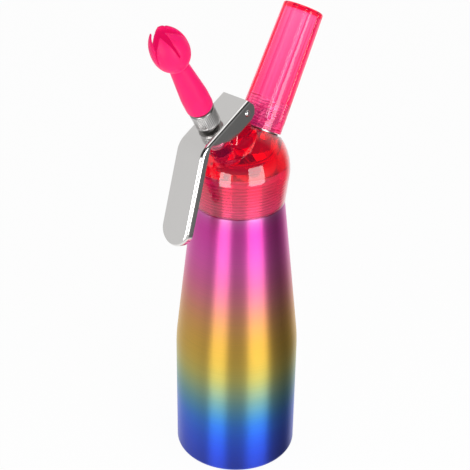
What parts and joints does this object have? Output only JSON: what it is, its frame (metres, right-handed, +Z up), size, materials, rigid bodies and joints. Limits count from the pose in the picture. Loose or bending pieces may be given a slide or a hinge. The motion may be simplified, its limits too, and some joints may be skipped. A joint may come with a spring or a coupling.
{
  "type": "whipped cream dispenser",
  "caption": "Tapered bottle with a clear screw-on head that carries a sprung pouring lever, a tulip nozzle and a threaded gas charger holder.",
  "frame": {"origin": "centre of the bottle's flat base, on the bottle's axis", "axes": "+Z up along the bottle's axis; the lever and nozzle lean toward -X and the charger holder toward +X; the XZ plane is the plane of symmetry"},
  "size_m": [0.1332, 0.078, 0.3047],
  "materials": {
    "bottle": "anodised, faintly brushed round the axis, shaded from magenta at the neck through gold to blue at the base",
    "head": "clear red, moulded",
    "silicone": "soft, matt",
    "lever": "satin sheet with bright bends",
    "bright_steel": "bright",
    "adapter": "turned and knurled, bright",
    "tip": "soft, satin",
    "holder": "clear pink, moulded"
  },
  "bodies": {
    "bottle": {"bottle": "bottle"},
    "gasket": {"head_gasket": "silicone"},
    "head": {"head_cap": "head", "lever_pin": "bright_steel", "pin_clip": "bright_steel", "valve_guide": "bright_steel", "return_spring": "bright_steel", "charger_port": "adapter", "port_nut": "bright_steel", "port_seal": "silicone", "piercing_pin": "bright_steel", "charger_seal": "silicone", "check_valve": "silicone"},
    "lever": {"lever": "lever"},
    "valve": {"valve_stem": "bright_steel", "valve_seal": "silicone", "seal_nut": "bright_steel", "stem_o_ring": "silicone", "spring_cap": "bright_steel", "nozzle_adapter": "adapter", "adapter_o_ring": "silicone"},
    "tip": {"decorator_tip": "tip"},
    "holder": {"charger_holder": "holder"}
  },
  "joints": [
    {"name": "head_lift", "type": "slide", "parent": "bottle", "child": "gasket", "axis": [0, 0, 1], "range_m": [0, 0.0122]},
    {"name": "head_unscrew", "type": "hinge", "parent": "gasket", "child": "head", "pos_m": [0, 0, 0.19], "axis": [0, 0, 1], "range_deg": [0, 2160]},
    {"name": "lever_press", "type": "hinge", "parent": "head", "child": "lever", "pos_m": [-0.005, 0, 0.2413], "axis": [0, -1, 0], "range_deg": [0, 8.6], "stiffness_Nm_per_rad": 3, "springref_deg": -20.05},
    {"name": "valve_travel", "type": "slide", "parent": "head", "child": "valve", "axis": [0.5, 0, -0.866], "range_m": [0, 0.00312], "deforming": ["return_spring"]},
    {"name": "charger_holder_off", "type": "slide", "parent": "head", "child": "holder", "axis": [0.5, 0, 0.866], "range_m": [0, 0.03]},
    {"name": "tip_off", "type": "slide", "parent": "valve", "child": "tip", "axis": [-0.5, 0, 0.866], "range_m": [0, 0.012]}
  ],
  "couplings": [
    {"joint": "head_lift", "follows": "head_unscrew", "m_per_rad": 0.00031831},
    {"joint": "valve_travel", "follows": "lever_press", "m_per_rad": 0.020653}
  ]
}
